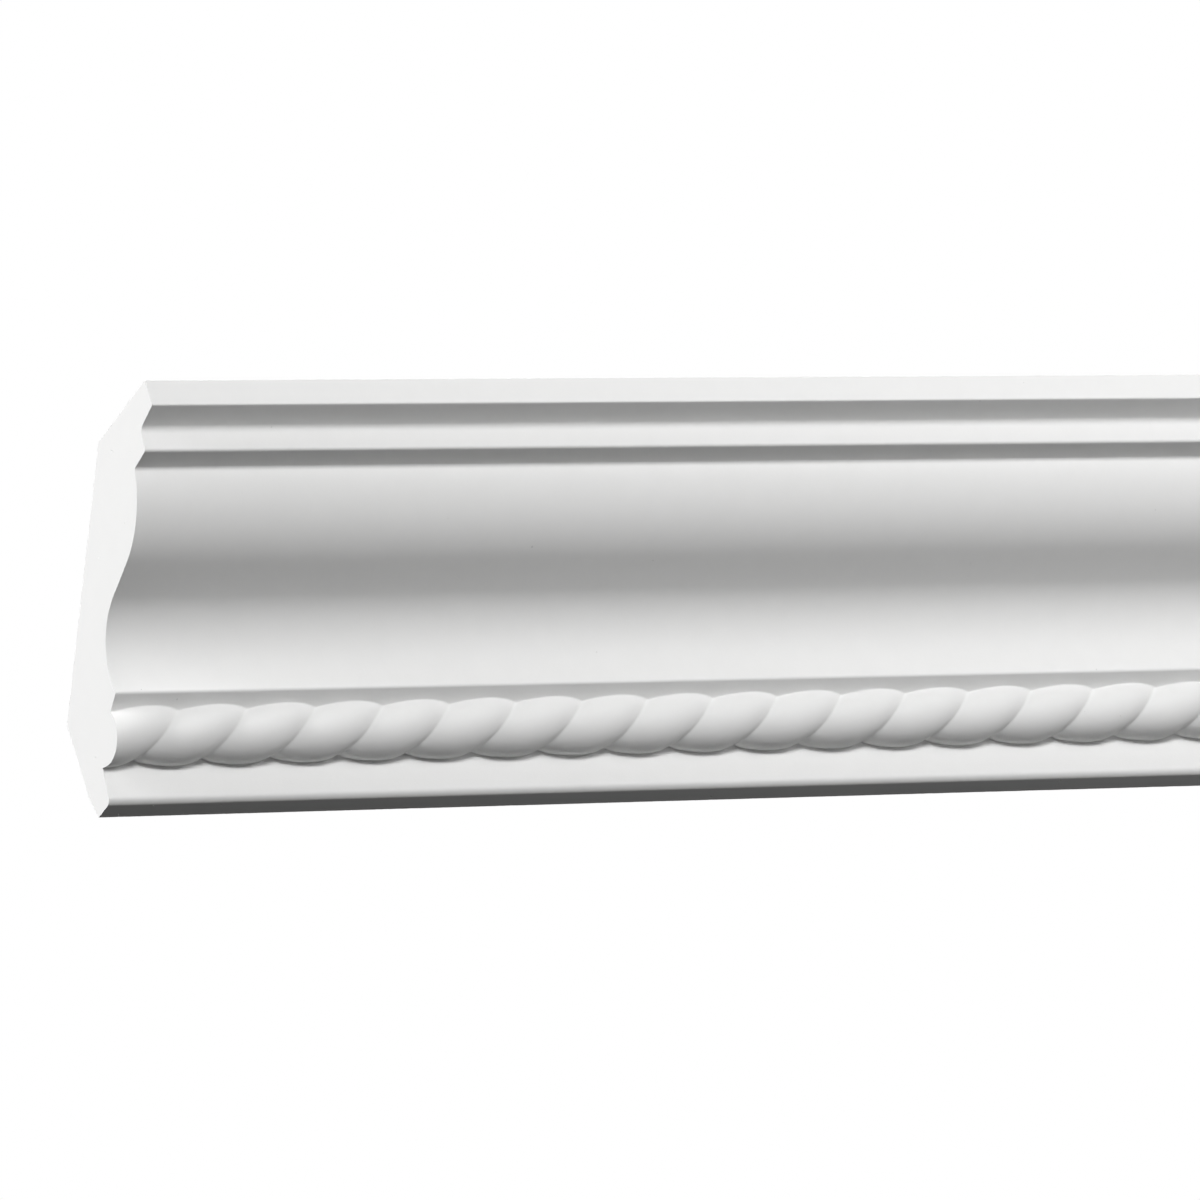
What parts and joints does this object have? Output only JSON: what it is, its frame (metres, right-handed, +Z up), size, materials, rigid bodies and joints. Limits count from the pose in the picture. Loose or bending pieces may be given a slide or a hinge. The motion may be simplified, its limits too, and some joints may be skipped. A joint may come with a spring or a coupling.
{
  "type": "crown moulding length",
  "caption": "Straight length of white moulded crown moulding: stepped fillets, an S-curve, a twisted rope bead and a fascia, cut square at both ends.",
  "frame": {"origin": "middle of the wall land, the flat strip at the back that bears on the wall, half way along the length", "axes": "+X along the length, to the right seen from the room; +Y into the wall; +Z up, to the ceiling"},
  "size_m": [0.36, 0.0834, 0.08],
  "materials": {
    "primed_polyurethane": "smooth white primer on moulded rigid polyurethane, low sheen, with bare fine-celled foam on the cut ends"
  },
  "bodies": {
    "root": {"crown_moulding": "primed_polyurethane"}
  },
  "joints": []
}
